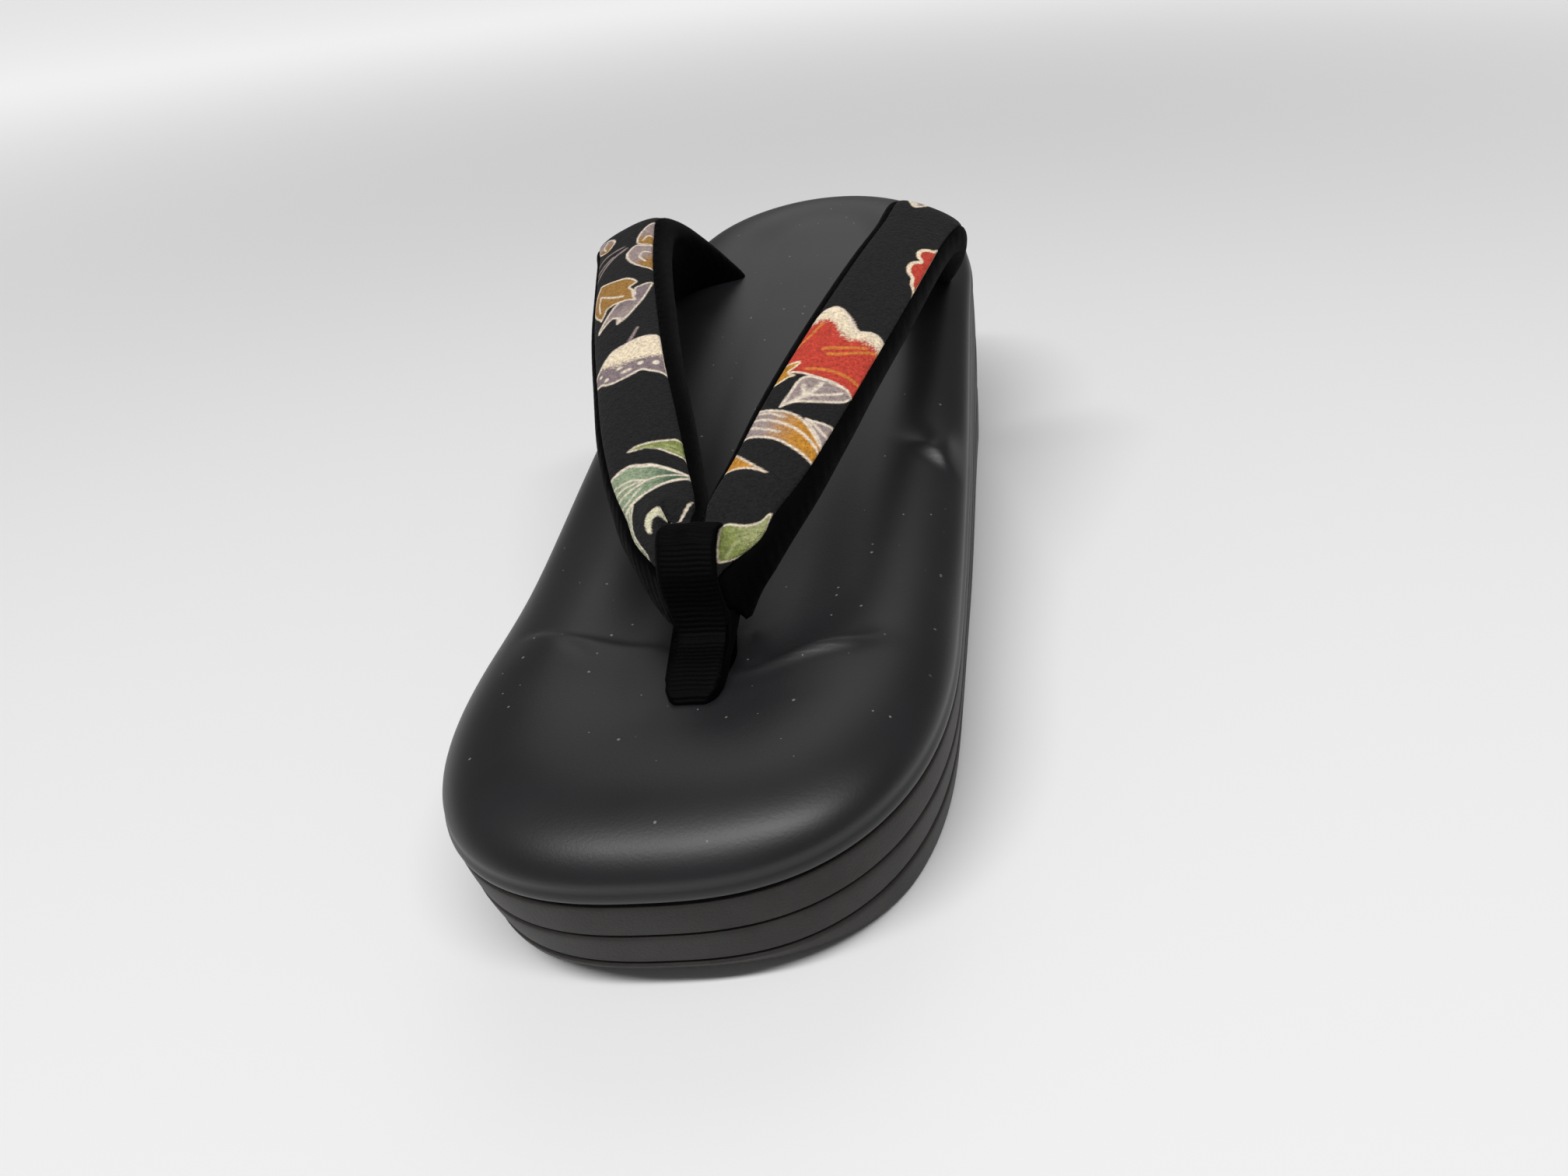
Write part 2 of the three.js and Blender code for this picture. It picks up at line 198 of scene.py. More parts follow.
def piece_from(bm, name, material, slot, *nodes):
    bmesh.ops.remove_doubles(bm, verts=bm.verts, dist=1e-4)
    bmesh.ops.recalc_face_normals(bm, faces=bm.faces)
    bmesh.ops.scale(bm, vec=(0.001, 0.001, 0.001), verts=bm.verts)
    for face in bm.faces:
        face.smooth = True
    mesh = bpy.data.meshes.new(name)
    bm.to_mesh(mesh)
    bm.free()
    mesh.materials.append(material)
    piece = bpy.data.objects.new(name, mesh)
    bpy.context.scene.collection.objects.link(piece)
    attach(piece, "root")
    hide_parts(*nodes)
    return piece


# A socket is named with _ for each space, or by its number after a single _.
def fill_sockets(tree, node, **sockets):
    for name, value in sockets.items():
        socket = node.inputs[int(name[1:])] if name[0] == "_" else node.inputs[name.replace("_", " ")]
        if isinstance(value, bpy.types.NodeSocket):
            tree.links.new(value, socket)
        else:
            socket.default_value = value


def add_node(tree, kind, settings=(), **sockets):
    node = tree.nodes.new("ShaderNode" + kind)
    for name, value in dict(settings).items():
        setattr(node, name, value)
    fill_sockets(tree, node, **sockets)
    return node


def two_shades(tree, share, dark_at, dark, light_at, light):
    shade = add_node(tree, "ValToRGB", Fac=share)
    for number, (at, colour) in enumerate(((dark_at, dark), (light_at, light))):
        shade.color_ramp.elements[number].position = at
        shade.color_ramp.elements[number].color = (*colour, 1.0)
    return shade.outputs["Color"]


def new_finish(name):
    material = bpy.data.materials.new(name)
    material.use_nodes = True
    tree = material.node_tree
    return material, tree, tree.nodes["Principled BSDF"], add_node(tree, "TexCoord").outputs["Object"]


sueded_foam, tree, shader, place = new_finish("sueded_foam")
mottle = add_node(tree, "TexNoise", Vector=place, Scale=90.0, Detail=4.0, Roughness=0.6)
grain = add_node(tree, "TexNoise", Vector=place, Scale=2600.0, Detail=2.0, Roughness=0.7)
shade = two_shades(tree, mottle.outputs["Fac"], 0.3, (0.022, 0.0195, 0.0185), 0.72, (0.036, 0.032, 0.0305))
fleck = add_node(
    tree, "Mix", {"data_type": "RGBA", "blend_type": "OVERLAY"}, _0=0.45, _6=shade, _7=grain.outputs["Color"]
)
dents = add_node(tree, "Bump", Strength=0.35, Distance=0.0003, Height=grain.outputs["Fac"])
fill_sockets(
    tree, shader, Base_Color=fleck.outputs[2], Normal=dents.outputs["Normal"],
    Roughness=0.85, Specular_IOR_Level=0.25, Sheen_Weight=0.12, Sheen_Roughness=0.5,
)

bm = wedge_layer(floor_height, lambda y: stack_height(y) / 3 - LAYER_GAP, low_inset=2.4, high_inset=1.5)
piece_from(bm, "outsole_foam", sueded_foam, "sueded_foam", "outsole")

# Midsoles: two more wedges of the same sueded foam, glued on the outsole, with a thin dark groove between.
# The upper one meets the cushion's lip.
bm = wedge_layer(
    lambda y: stack_height(y) / 3,
    lambda y: stack_height(y) * 2 / 3 - LAYER_GAP,
    low_inset=1.5, high_inset=0.65,
)
piece_from(bm, "midsole_lower_foam", sueded_foam, "sueded_foam", "midsole_lower")
bm = wedge_layer(
    lambda y: stack_height(y) * 2 / 3,
    lambda y: stack_height(y) - LAYER_GAP,
    low_inset=0.65, high_inset=0.2,
)
piece_from(bm, "midsole_upper_foam", sueded_foam, "sueded_foam", "midsole_upper")

# Footbed: a moulded foam cushion with a smooth skin, glued on the wedges. A large round shoulder stands over
# its small lip, and its dished top has creased: a ridge to each side of the toe post, a dimple round the post
# and a pucker on the right shoulder.
DISH = ((0, 0.2), (15, 0.5), (38, 1.3), (64, 2.2), (118, 1.2), (170, 1.4), (204, 1.6), (240, 1.0))
LIP = ((10.0, 0.75), (9.85, 0.32), (9.5, 0.06), (9.0, 0.0), (8.5, 0.08), (8.1, 0.3))
SHOULDER_WIDTH = 15.3
SHOULDER_HEIGHT = 8.8
SHOULDER_RINGS = 27
TOP_RINGS = 32
RIDGE = (
    (-29.0, -69.4), (-23.5, -70.7), (-14.6, -72.2), (-9.0, -72.9), (-5.0, -74.2), (2.0, -79.0),
    (5.9, -80.0), (8.3, -79.6), (13.0, -78.2), (17.8, -77.2), (25.1, -76.0), (30.4, -74.0),
)
PUCKER = (34.9, -18.4)
POST = (1.2, -82.0)


def dish_depth(y):
    marks = np.array(DISH, float)
    fine = np.linspace(0.0, SOLE_LENGTH, 481)
    level = np.interp(fine, marks[:, 0], marks[:, 1])
    window = np.hanning(49)
    soft = np.convolve(np.pad(level, 24, mode="edge"), window / window.sum(), mode="valid")
    return np.interp(y + HALF_LENGTH, fine, soft)


def hump(away, reach):
    return np.exp(-((away / reach) ** 2))


def toe_ridge(x, y):
    course = np.array(RIDGE)
    behind = y - np.interp(x, course[:, 0], course[:, 1])
    right = eased(x, -4.0, 8.0)
    front = hump(behind, 9.0 - 3.4 * right) * (1.0 - 0.5 * right) + 0.5 * right * hump(behind, 1.6)
    crest = np.where(behind < 0, front, hump(behind, 1.6 + 1.2 * right))
    height = (1.0 - right) + right * (0.3 + 2.1 * hump(x - 19.0, 8.6))
    fork = y - (-75.2 - (x + 18.4) * 0.73)
    crease = 0.16 * hump(fork, 1.5) * eased(-x, 17.0, 21.0) * eased(x, -30.0, -24.0)
    return height * crest * eased(35.0 - np.abs(x), 0.0, 11.0) - crease


def side_pucker(x, y):
    across, back = x - PUCKER[0], y - PUCKER[1]
    along = across * 0.84 - back * 0.54
    beyond = across * 0.54 + back * 0.84 - 0.9
    fold = 2.2 * hump(beyond, np.where(beyond < 0, 2.2, 9.0))
    ends = hump(along, np.where(along < 0, 5.6, 4.2))
    return fold * ends * eased(40.8 - x, 0.0, 4.0)


def post_dimple(x, y):
    away_x = np.maximum(np.abs(x - POST[0]) - 4.4, 0.0)
    away_y = np.maximum(np.abs(y - POST[1]) - 4.0, 0.0)
    return -0.5 * hump(np.hypot(away_x, away_y), 6.0)


bm = bmesh.new()
first = ring_at(LIP[0][1], lambda y: rim_height(y) - LIP[0][0])
lowest = start_ring(bm, first)
edges = lowest
for drop, inset in LIP[1:]:
    edges = grow_ring(bm, edges, ring_at(inset, lambda y: rim_height(y) - drop))
for angle in np.linspace(0.14, math.pi / 2, SHOULDER_RINGS):
    drop = SHOULDER_HEIGHT * (1 - math.sin(angle))
    inset = SHOULDER_WIDTH * (1 - math.cos(angle)) + 0.35 * hump(drop - 7.8, 0.8)
    shoulder = ring_at(inset, lambda y: rim_height(y) - drop)
    x, y = shoulder[:, 0], shoulder[:, 1]
    shoulder[:, 2] += side_pucker(x, y) + toe_ridge(x, y)
    edges = grow_ring(bm, edges, shoulder)
spine = spine_under(shoulder)
for step in range(1, TOP_RINGS + 1):
    share = step / TOP_RINGS
    flat = shoulder[:, :2] + (spine - shoulder[:, :2]) * share
    x, y = flat[:, 0], flat[:, 1]
    top = rim_height(y) - dish_depth(y) * eased(share, 0.0, 0.55)
    top += toe_ridge(x, y) + side_pucker(x, y) + post_dimple(x, y) * eased(share, 0.0, 0.2)
    edges = grow_ring(bm, edges, np.column_stack([flat, top]))
close_on_spine(bm, lowest, first, lambda y: rim_height(y) - LIP[0][0])

smooth_foam, tree, shader, place = new_finish("smooth_foam")
cloudy = add_node(tree, "TexNoise", Vector=place, Scale=40.0, Detail=5.0, Roughness=0.55)
skin = add_node(tree, "TexNoise", Vector=place, Scale=1900.0, Detail=2.0, Roughness=0.6)
shade = two_shades(tree, cloudy.outputs["Fac"], 0.3, (0.0075, 0.0075, 0.0087), 0.75, (0.0112, 0.0112, 0.013))
# Dust: a few small specks, only where the skin faces up.
cells = add_node(tree, "TexVoronoi", {"voronoi_dimensions": "2D"}, Vector=place, Scale=400.0)
chosen = add_node(tree, "SeparateColor", Color=cells.outputs["Color"])
reach = add_node(
    tree, "MapRange", Value=chosen.outputs["Red"], From_Min=0.91, From_Max=1.0, To_Min=0.0, To_Max=0.105
)
near = add_node(
    tree, "Math", {"operation": "LESS_THAN"}, _0=cells.outputs["Distance"], _1=reach.outputs["Result"]
)
facing = add_node(tree, "SeparateXYZ", Vector=add_node(tree, "NewGeometry").outputs["Normal"])
lying = add_node(
    tree, "MapRange", Value=facing.outputs["Z"], From_Min=0.75, From_Max=0.9, To_Min=0.0, To_Max=0.55
)
dust = add_node(tree, "Math", {"operation": "MULTIPLY"}, _0=near.outputs[0], _1=lying.outputs["Result"])
dusted = add_node(
    tree, "Mix", {"data_type": "RGBA"}, _0=dust.outputs[0], _6=shade, _7=(0.3, 0.29, 0.27, 1.0)
)
gloss = add_node(tree, "MapRange", Value=cloudy.outputs["Fac"], To_Min=0.37, To_Max=0.47)
pores = add_node(tree, "Bump", Strength=0.09, Distance=0.0002, Height=skin.outputs["Fac"])
fill_sockets(
    tree, shader, Base_Color=dusted.outputs[2], Roughness=gloss.outputs["Result"],
    Normal=pores.outputs["Normal"], Specular_IOR_Level=0.5,
)
footbed = piece_from(bm, "footbed_cushion", smooth_foam, "smooth_foam", "footbed")

# Strap backing: a stuffed V of black velvet, sewn as two limbs that meet in the toe loop.
# Each limb narrows to a flat end that goes down into the footbed, and its top is left low for its face.
# A row holds the inner seam, the outer seam and the thickness, from the fork back to the right end.
STRAP = (
    ((-3.2, -68.4, 43.0), (3.0, -73.4, 40.8), 12.4),
    ((1.0, -60.1, 47.3), (7.5, -67.0, 44.2), 12.0),
    ((3.6, -49.4, 51.2), (15.4, -55.4, 48.6), 10.2),
    ((7.4, -37.4, 56.2), (20.8, -42.4, 52.8), 9.2),
    ((12.2, -23.4, 61.2), (26.0, -25.6, 57.0), 8.8),
    ((17.0, -7.0, 65.4), (31.0, -8.0, 61.0), 8.8),
    ((21.4, 9.0, 68.7), (35.2, 9.6, 64.2), 8.8),
    ((24.8, 23.5, 70.6), (38.2, 22.5, 66.2), 8.6),
    ((26.6, 33.8, 71.8), (40.8, 31.6, 66.4), 8.6),
    ((26.6, 43.2, 68.6), (40.6, 38.6, 62.4), 7.8),
    ((24.8, 51.8, 62.4), (38.8, 46.4, 56.6), 6.6),
    ((22.0, 58.0, 55.8), (36.2, 52.6, 51.6), 5.6),
    ((19.4, 61.4, 50.2), (34.0, 56.2, 47.8), 5.0),
    ((18.6, 62.2, 45.0), (33.2, 57.0, 43.2), 4.8),
)
SEAM_SHARE = 0.82
PAD_POWER = 2.6
SEAM_ANGLE = math.acos(SEAM_SHARE ** (PAD_POWER / 2))
LIMB_RINGS = 131
TOP_POINTS = 16
UNDER_POINTS = 30
TOP_LOWERED = 0.9


def seam_course(points, places):
    rows = np.array(points, float)
    rows = np.vstack([2 * rows[0] - rows[1], rows, 2 * rows[-1] - rows[-2]])
    gaps = np.sqrt(np.linalg.norm(np.diff(rows, axis=0), axis=1))
    spot = np.clip(np.asarray(places) * (len(points) - 1), 0.0, len(points) - 1.0)
    row = np.minimum(spot.astype(int), len(points) - 2)
    part = (spot - row)[:, None]
    a, b, c, d = rows[row], rows[row + 1], rows[row + 2], rows[row + 3]
    g0, g1, g2 = gaps[row][:, None], gaps[row + 1][:, None], gaps[row + 2][:, None]
    slope_b = ((b - a) / g0 - (c - a) / (g0 + g1) + (c - b) / g1) * g1
    slope_c = ((c - b) / g1 - (d - b) / (g1 + g2) + (d - c) / g2) * g1
    bend = -3 * b + 3 * c - 2 * slope_b - slope_c
    twist = 2 * b - 2 * c + slope_b + slope_c
    return b + slope_b * part + bend * part**2 + twist * part**3


def strap_stations(places):
    places = np.asarray(places, float)
    ahead = np.clip(places + 0.002, 0.0, 1.0)
    behind = np.clip(places - 0.002, 0.0, 1.0)
    seams = []
    along = 0.0
    for side in (0, 1):
        marks = [row[side] for row in STRAP]
        seams.append(seam_course(marks, places))
        step = seam_course(marks, ahead) - seam_course(marks, behind)
        along = along + step / np.linalg.norm(step, axis=1)[:, None]
    inner, outer = seams
    across = outer - inner
    half_seam = np.linalg.norm(across, axis=1) / 2
    across /= 2 * half_seam[:, None]
    up = np.cross(across, along)
    up /= np.linalg.norm(up, axis=1)[:, None]
    thick = np.interp(places * (len(STRAP) - 1), np.arange(len(STRAP)), [row[2] for row in STRAP])
    return (inner + outer) / 2, across, up, half_seam, thick


def pad_points(stations, angle, grow):
    middle, across, up, half_seam, thick = stations

    def rounded(value):
        return np.sign(value) * np.abs(value) ** (2 / PAD_POWER)

    seam_lift = thick / 2 * rounded(math.sin(SEAM_ANGLE))
    sideways = (half_seam / SEAM_SHARE + grow) * rounded(np.cos(angle))
    upward = (thick / 2 + grow) * rounded(np.sin(angle)) - seam_lift
    return middle + across * sideways[:, None] + up * upward[:, None]


def swell(x, y, near_x, near_y, reach_x, reach_y):
    return np.exp(-(((x - near_x) / reach_x) ** 2) - ((y - near_y) / reach_y) ** 2)


def slack_under_fork(points):
    x, y, z = points.T
    aside = np.abs(x)
    left = eased(-x, -4.0, 4.0)
    fuller = 0.3 + 0.7 * left
    sag = 4.8 * swell(aside, y, 4.9 + 1.3 * left, -67.0, 2.3 + 0.7 * left, 5.5) * eased(-z, -44.5, -37.0)
    sag += 3.4 * fuller * swell(aside, y, 11.0, -60.5, 4.2, 7.5) * eased(-z, -46.5, -39.0)
    bulge = 1.5 * fuller * swell(aside, y, 12.0, -58.0, 5.0, 11.0) * eased(-z, -48.0, -43.0)
    return np.column_stack([x + np.sign(x) * bulge, y, z - sag])


def pressed_within(value, low, high):
    kept = np.clip(value, low, high)
    return kept + 0.12 * (value - kept)


def drawn_into_loop(points):
    x, y, z = points.T
    aside = np.abs(x)
    pinch = 0.9 * swell(aside, y, 2.2, -57.0, 2.4, 6.5) * eased(aside, 0.0, 1.6)
    spread = 1.5 * swell(aside, y, 9.0, -64.5, 3.5, 5.5)
    puff = 1.5 * swell(x, y, -6.2, -61.0, 3.2, 4.5) * eased(z, 42.0, 46.0)
    loose = np.column_stack([x + np.sign(x) * (0.8 * spread - pinch), y, z - 0.5 * spread + puff])
    held = eased(-aside, -5.8, -4.7) * eased(-y, 58.5, 60.5)
    inside = np.column_stack([x, pressed_within(y, -71.2, -62.0), pressed_within(z, 36.2, 47.2)])
    return loose + (inside - loose) * held[:, None]


bm = bmesh.new()
turn = np.concatenate([
    np.linspace(SEAM_ANGLE + 0.02, math.pi - SEAM_ANGLE - 0.02, TOP_POINTS),
    np.linspace(math.pi - SEAM_ANGLE, 2 * math.pi + SEAM_ANGLE, UNDER_POINTS),
])
grow = np.where(np.arange(len(turn)) < TOP_POINTS, -TOP_LOWERED, 0.0)
stations = strap_stations(np.linspace(0.0, 1.0, LIMB_RINGS))
limb = np.stack([pad_points(stations, np.full(LIMB_RINGS, a), g) for a, g in zip(turn, grow)], axis=1)
front_end = start_ring(bm, limb[0])
edges = front_end
for ring in limb[1:]:
    edges = grow_ring(bm, edges, ring)
bmesh.ops.contextual_create(bm, geom=edges)
bmesh.ops.contextual_create(bm, geom=front_end)
bmesh.ops.recalc_face_normals(bm, faces=bm.faces)
twin = bmesh.ops.duplicate(bm, geom=bm.verts[:] + bm.edges[:] + bm.faces[:])["geom"]
twin_verts = [item for item in twin if isinstance(item, bmesh.types.BMVert)]
bmesh.ops.scale(bm, vec=(-1.0, 1.0, 1.0), verts=twin_verts)
bmesh.ops.reverse_faces(bm, faces=[item for item in twin if isinstance(item, bmesh.types.BMFace)])
sewn_points = np.array([vert.co for vert in bm.verts])
for vert, point in zip(bm.verts, drawn_into_loop(slack_under_fork(sewn_points))):
    vert.co = point

strap_velvet, tree, shader, place = new_finish("strap_velvet")
pile = add_node(tree, "TexNoise", Vector=place, Scale=3200.0, Detail=2.0, Roughness=0.8)
brushed = add_node(tree, "TexNoise", Vector=place, Scale=160.0, Detail=4.0, Roughness=0.6)
shade = two_shades(
    tree, brushed.outputs["Fac"], 0.35, (0.0008, 0.0007, 0.0009), 0.75, (0.002, 0.0018, 0.0022)
)
rows = add_node(
    tree, "TexWave", {"bands_direction": "X"}, Vector=place, Scale=270.0, Distortion=2.0, Detail=1.0
)
tufts = add_node(
    tree, "Math", {"operation": "MULTIPLY_ADD"}, _0=rows.outputs["Fac"], _1=0.5, _2=pile.outputs["Fac"]
)
nap = add_node(tree, "Bump", Strength=0.5, Distance=0.0003, Height=tufts.outputs[0])
fill_sockets(
    tree, shader, Base_Color=shade, Normal=nap.outputs["Normal"],
    Roughness=0.95, Specular_IOR_Level=0.05, Sheen_Weight=0.035, Sheen_Roughness=0.35,
)
backing = piece_from(bm, "strap_velvet_pad", strap_velvet, "velvet", "strap_backing")
joined = backing.modifiers.new("joined", "REMESH")
joined.mode = "VOXEL"
joined.voxel_size = 0.0005
joined.use_smooth_shade = True
softened = backing.modifiers.new("softened", "SMOOTH")
softened.factor = 0.5
softened.iterations = 3
bpy.context.view_layer.update()
sewn = bpy.data.meshes.new_from_object(backing.evaluated_get(bpy.context.evaluated_depsgraph_get()))
backing.modifiers.clear()
backing.data = sewn

# Printed faces: black crepe with a traditional flower print, one strip on each limb, turned in at its seams.
# The print is charted along the limb and across it, in millimetres from the fork and from the inner seam.
# Where a motif has two inks, the first passes into the second along its own direction.
FACE_WIDTH = 16.0
FACE_THICKNESS = 0.35
TURNED_IN = 0.55
CELLS_ALONG = 600
CELLS_ACROSS = 62
EDGE_SPREAD = 1.2
DOT_SPREAD = 0.85
VEIN_COVER = 0.95
ROUNDNESS = 0.336
INK = {
    "ground": (0.0105, 0.0102, 0.0106),
    "red": (0.56, 0.056, 0.034),
    "orange": (0.66, 0.22, 0.04),
    "ochre": (0.55, 0.245, 0.03),
    "dull_ochre": (0.37, 0.19, 0.045),
    "lilac": (0.35, 0.275, 0.26),
    "mauve": (0.24, 0.185, 0.195),
    "cream": (0.88, 0.74, 0.54),
    "pale": (0.80, 0.69, 0.56),
    "lime": (0.70, 0.70, 0.46),
    "leaf": (0.225, 0.26, 0.075),
    "pale_leaf": (0.36, 0.38, 0.17),
    "deep_leaf": (0.07, 0.125, 0.075),
    "soft_leaf": (0.29, 0.36, 0.23),
}
RIGHT_PRINT = {
    "leaf_by_loop": dict(
        outline=((5, 12.8), (6.5, 10.4), (8.3, 8.6), (10, 7.9), (11, 8.6), (12.3, 10.6), (14.5, 12.8),
                 (16.3, 13.8), (16.8, 15), (15, 15.4), (13.3, 16.4), (9.5, 16.4), (7.5, 15.6), (5.5, 14)),
        fill=("leaf", "pale_leaf"), toward=(1, 0.25), edge=("pale", 0.3),
        veins=(((6.6, 13.6), (9.6, 12.2), (12.4, 13.4), (15.6, 14.4)),), vein=("pale_leaf", 0.4),
    ),
    "small_ochre_point": dict(
        outline=((19, -0.5), (19.8, 1.6), (21, 4), (22, 6.6), (22.6, 8.9), (23.1, 7.2), (23.6, 4.8),
                 (24.3, 1.6), (24.6, -0.5)),
        fill=("ochre",), edge=("pale", 0.35),
    ),
    "small_lilac_behind": dict(
        outline=((36.1, 9.2), (34.5, 11.2), (33, 13.8), (31.6, 16.4), (36.7, 16.4), (36.8, 13), (36.4, 10.8)),
        fill=("lilac",), edge=("pale", 0.35), veins=(((35.8, 10.8), (34.8, 13.2), (34.4, 16)),),
    ),
    "broad_leaf": dict(
        outline=((27.6, -0.5), (28.3, 2.4), (29, 5.2), (29.5, 7.6), (29.2, 9.6), (28.6, 12.8), (28.2, 16.5),
                 (31.6, 16.5), (32.8, 14), (34.5, 11.2), (36.1, 8.6), (36.4, 7.2), (35.8, 4.4), (35.2, 1.6),
                 (35, -0.5)),
        fill=("lilac", "ochre"), toward=(0, 1), edge=("pale", 0.4),
        veins=(((30.8, 0.6), (31, 4.4), (31.4, 7.4)),
               ((32.4, 0.4), (33.3, 5.2), (33.4, 8.2), (32.2, 12), (30.8, 15.6)),
               ((34.2, 1.4), (34.8, 4.4), (34.9, 7))),
    ),
    "lilac_leaf": dict(
        outline=((36.6, 5.4), (40, 5.5), (43, 5.6), (45, 6), (46.2, 7.2), (46.2, 9.6), (46, 12.8),
                 (45.6, 15.6), (43.5, 14.8), (42.2, 13.2), (41, 10.8), (39.7, 8.4), (38.2, 6.8)),
        fill=("lilac",), edge=("pale", 0.4),
        veins=(((37.4, 6), (41, 7.8), (45.2, 8.7)), ((41.6, 8.2), (43.2, 10.8), (44.6, 12.8)),
               ((41.2, 7.8), (43.4, 7))),
    ),
    "great_flower": dict(
        outline=((45.2, 16.5), (45.6, 13.2), (46, 10), (46.1, 7.2), (45.9, 4.4), (45.8, -0.5), (60.5, -0.5),
                 (63, 0.7), (65.5, 2), (67, 4.1), (66.3, 6), (64.6, 7.5), (62.2, 8.5), (61.3, 9.4),
                 (62, 11.2), (61.9, 13.2), (61.1, 15.2), (60.7, 16.5)),
        fill=("red",), edge=("pale", 0.4),
        rind=("cream", 0.7, ((59.6, -0.5), (60.6, 1.0), (61.8, 2.6), (62.4, 4.4), (61.5, 6), (59.6, 7.2),
                             (58.3, 8.6), (58.9, 10.4), (58.7, 12.4), (58.1, 14.4), (57.6, 16.5))),
        veins=(((53, 0.6), (56.5, 2.3), (61, 3.6)), ((47.6, 6), (48.8, 8.8), (48.6, 12), (48, 15.8)),
               ((52.8, 7.6), (55, 10.4), (56.6, 13.2), (57.4, 15.8)), ((53.8, 6.6), (56, 9.2), (57.4, 12.2))),
        vein=("orange", 0.34),
    ),
    "ochre_leaf_on_flower": dict(
        outline=((41.8, 1), (42.5, 0.1), (45, -0.4), (47.5, 0), (48.3, 1.6), (49.3, 3.8), (48.5, 4.2),
                 (47, 3.6), (45.9, 2.9), (45.3, 4.7), (44.3, 3.6), (42.8, 2.4)),
        fill=("ochre",), edge=("cream", 0.4),
    ),
    "small_blossom": dict(
        outline=((77.3, 16.4), (78.8, 14.8), (80.3, 13.2), (82.3, 12.6), (83.5, 11.2), (85.5, 10.5),
                 (87.5, 10.7), (88.8, 11.8), (89.2, 12.4), (90.2, 11.2), (92, 10.7), (93.8, 11.4),
                 (94.8, 12.8), (95.3, 14), (96.6, 16.4)),
        fill=("red",), edge=("cream", 0.8),
    ),
    "pale_petal": dict(
        outline=((110.3, 6), (111.5, 5), (113.5, 4), (116, 3.2), (117.8, 3.2), (118.5, 4.2), (117.5, 5.6),
                 (116, 6.8), (114.3, 7.7), (112.3, 7.5), (110.8, 6.8)),
        fill=("pale", "lilac"), toward=(0.4, 1), edge=("cream", 0.35),
        veins=(((111, 6.2), (114, 5.6), (117.6, 4)),),
    ),
    "rear_flower": dict(
        outline=((130, 16.4), (131, 13), (133.5, 10), (136, 9.6), (137, 7.2), (139.5, 6.2), (142, 6.6),
                 (143.5, 5.2), (147, 5), (151, 6), (151, 16.4)),
        fill=("red",), edge=("cream", 0.9),
        veins=(((134, 15), (138, 11), (142, 9)), ((140, 15), (144, 11.6), (148, 9))), vein=("orange", 0.3),
    ),
}
